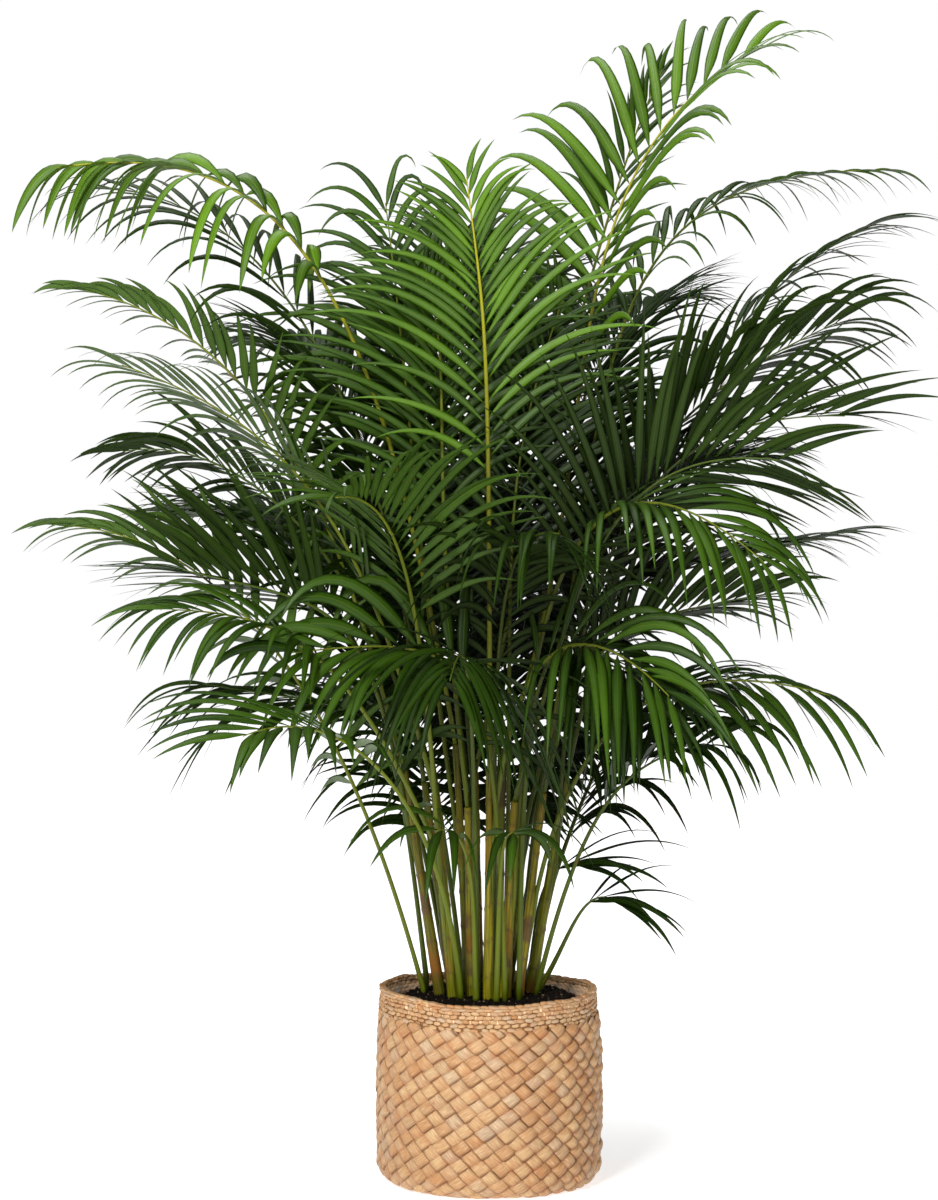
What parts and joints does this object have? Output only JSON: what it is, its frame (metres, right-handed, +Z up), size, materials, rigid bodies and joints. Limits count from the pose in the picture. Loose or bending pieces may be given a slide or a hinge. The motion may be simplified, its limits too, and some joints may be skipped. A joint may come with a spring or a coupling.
{
  "type": "potted areca palm in a plaited basket",
  "caption": "Bushy clumping palm with many upright canes and arching feathery fronds, growing in soil in a round plaited basket with a film lining.",
  "frame": {"origin": "centre of the basket's flat underside, on the floor it stands on", "axes": "+Z up along the canes, +Y away from the viewer of the picture, +X to that viewer's right"},
  "size_m": [1.2481, 1.0919, 1.5743],
  "materials": {
    "basket": "dry plaited leaf strips, tan to orange brown",
    "film": "clear crinkled film",
    "soil": "dark crumbly potting soil",
    "stem": "smooth ringed cane, olive to orange brown",
    "frond_bright": "light green leaflets on a yellow green rib",
    "frond_green": "mid green leaflets on a yellow green rib",
    "frond_deep": "deep green leaflets on a green rib"
  },
  "bodies": {
    "root": {"basket": "basket", "film": "film", "frond_far_1": "frond_deep", "frond_far_2": "frond_deep", "frond_far_3": "frond_deep", "frond_far_4": "frond_deep", "frond_far_5": "frond_deep", "frond_far_6": "frond_deep", "frond_far_7": "frond_deep", "frond_far_8": "frond_deep", "frond_far_9": "frond_deep", "frond_left_1": "frond_bright", "frond_left_2": "frond_deep", "frond_left_3": "frond_green", "frond_left_4": "frond_green", "frond_left_5": "frond_deep", "frond_left_6": "frond_green", "frond_left_7": "frond_green", "frond_left_8": "frond_deep", "frond_left_9": "frond_deep", "frond_low_1": "frond_deep", "frond_low_2": "frond_deep", "frond_low_3": "frond_green", "frond_low_4": "frond_green", "frond_mid_1": "frond_bright", "frond_mid_2": "frond_green", "frond_mid_3": "frond_green", "frond_mid_4": "frond_green", "frond_near_1": "frond_green", "frond_near_2": "frond_green", "frond_near_3": "frond_green", "frond_near_4": "frond_deep", "frond_near_5": "frond_deep", "frond_near_6": "frond_deep", "frond_near_7": "frond_green", "frond_right_1": "frond_bright", "frond_right_10": "frond_green", "frond_right_11": "frond_deep", "frond_right_12": "frond_deep", "frond_right_2": "frond_green", "frond_right_3": "frond_green", "frond_right_4": "frond_deep", "frond_right_5": "frond_deep", "frond_right_6": "frond_deep", "frond_right_7": "frond_deep", "frond_right_8": "frond_green", "frond_right_9": "frond_deep", "soil": "soil", "stem_01": "stem", "stem_02": "stem", "stem_03": "stem", "stem_04": "stem", "stem_05": "stem", "stem_06": "stem", "stem_07": "stem", "stem_08": "stem", "stem_09": "stem", "stem_10": "stem", "stem_11": "stem", "stem_12": "stem"}
  },
  "joints": []
}
